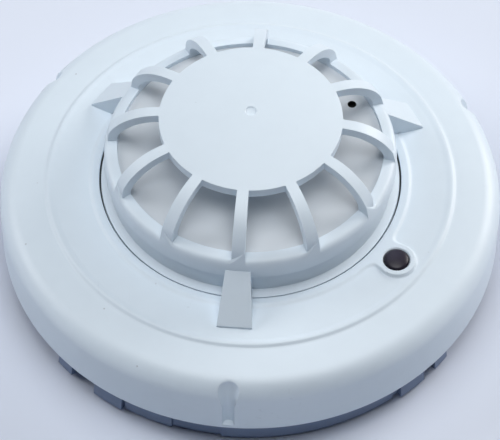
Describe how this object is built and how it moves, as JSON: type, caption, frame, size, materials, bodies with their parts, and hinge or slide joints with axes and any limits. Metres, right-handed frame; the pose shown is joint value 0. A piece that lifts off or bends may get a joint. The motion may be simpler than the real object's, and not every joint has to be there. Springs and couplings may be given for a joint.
{
  "type": "point heat detector",
  "caption": "Round ceiling heat detector: a domed disc and rib cage over the sensing chamber, on a wide cover with an indicator lens, twist-locked to a base.",
  "frame": {"origin": "centre of the back face of the base, which lies against the ceiling", "axes": "+Z out of the detector's face, away from the ceiling; -Y through the front rib and the fin below it; +X to the right seen from the face with that fin at the bottom"},
  "size_m": [0.104, 0.104, 0.0445],
  "materials": {
    "white_moulding": "fine satin texture",
    "housing_moulding": "satin",
    "base_moulding": "satin",
    "board_laminate": "solder mask",
    "black_epoxy": "moulded epoxy",
    "capacitor_sleeve": "shrink sleeve",
    "led_package": "clear epoxy on white",
    "indicator_lens": "polished, smoked",
    "contact_brass": "bright",
    "plated_steel": "zinc plated",
    "sleeve_rubber": "matt",
    "sensor_resin": "dipped epoxy"
  },
  "bodies": {
    "base": {"base_plate": "base_moulding", "terminal_strip_1": "contact_brass", "terminal_strip_2": "contact_brass", "terminal_strip_3": "contact_brass", "terminal_strip_4": "contact_brass", "clamp_washer_1": "plated_steel", "clamp_washer_2": "plated_steel", "clamp_washer_3": "plated_steel", "clamp_washer_4": "plated_steel", "terminal_screw_1": "plated_steel", "terminal_screw_2": "plated_steel", "terminal_screw_3": "plated_steel", "terminal_screw_4": "plated_steel"},
    "head": {"lower_housing": "housing_moulding", "outer_cover": "white_moulding", "cage_cap": "white_moulding", "chamber_floor": "housing_moulding", "circuit_board": "board_laminate", "light_pipe": "indicator_lens", "led_chip": "led_package", "sensor_sleeve": "sleeve_rubber", "sensor_bead": "sensor_resin", "sensor_lead_1": "plated_steel", "sensor_lead_2": "plated_steel", "control_chip": "black_epoxy", "bridge_rectifier": "black_epoxy", "output_transistor": "black_epoxy", "surge_suppressor": "black_epoxy", "resistor_1": "black_epoxy", "resistor_2": "black_epoxy", "resistor_3": "black_epoxy", "filter_capacitor": "capacitor_sleeve", "head_contact_1": "contact_brass", "head_contact_2": "contact_brass", "head_contact_3": "contact_brass", "head_contact_4": "contact_brass", "board_screw_1": "plated_steel", "board_screw_2": "plated_steel", "board_screw_3": "plated_steel", "cover_screw_1": "plated_steel", "cover_screw_2": "plated_steel", "cover_screw_3": "plated_steel"},
    "leaf_1": {"contact_leaf_1": "contact_brass"},
    "leaf_2": {"contact_leaf_2": "contact_brass"},
    "leaf_3": {"contact_leaf_3": "contact_brass"},
    "leaf_4": {"contact_leaf_4": "contact_brass"}
  },
  "joints": [
    {"name": "head_twist", "type": "hinge", "parent": "base", "child": "head", "pos_m": [0, 0, 0.0045], "axis": [0, 0, 1], "range_deg": [0, 18]},
    {"name": "leaf_1_flex", "type": "hinge", "parent": "base", "child": "leaf_1", "pos_m": [0.02015, 0.02015, 0.00495], "axis": [-0.7071, 0.7071, 0], "range_deg": [0, 3]},
    {"name": "leaf_2_flex", "type": "hinge", "parent": "base", "child": "leaf_2", "pos_m": [-0.02015, 0.02015, 0.00495], "axis": [-0.7071, -0.7071, 0], "range_deg": [0, 3]},
    {"name": "leaf_3_flex", "type": "hinge", "parent": "base", "child": "leaf_3", "pos_m": [-0.02015, -0.02015, 0.00495], "axis": [0.7071, -0.7071, 0], "range_deg": [0, 3]},
    {"name": "leaf_4_flex", "type": "hinge", "parent": "base", "child": "leaf_4", "pos_m": [0.02015, -0.02015, 0.00495], "axis": [0.7071, 0.7071, 0], "range_deg": [0, 3]}
  ],
  "couplings": [
    {"joint": "leaf_1_flex", "follows": "head_twist", "ratio": 0.16},
    {"joint": "leaf_2_flex", "follows": "head_twist", "ratio": 0.16},
    {"joint": "leaf_3_flex", "follows": "head_twist", "ratio": 0.16},
    {"joint": "leaf_4_flex", "follows": "head_twist", "ratio": 0.16}
  ]
}
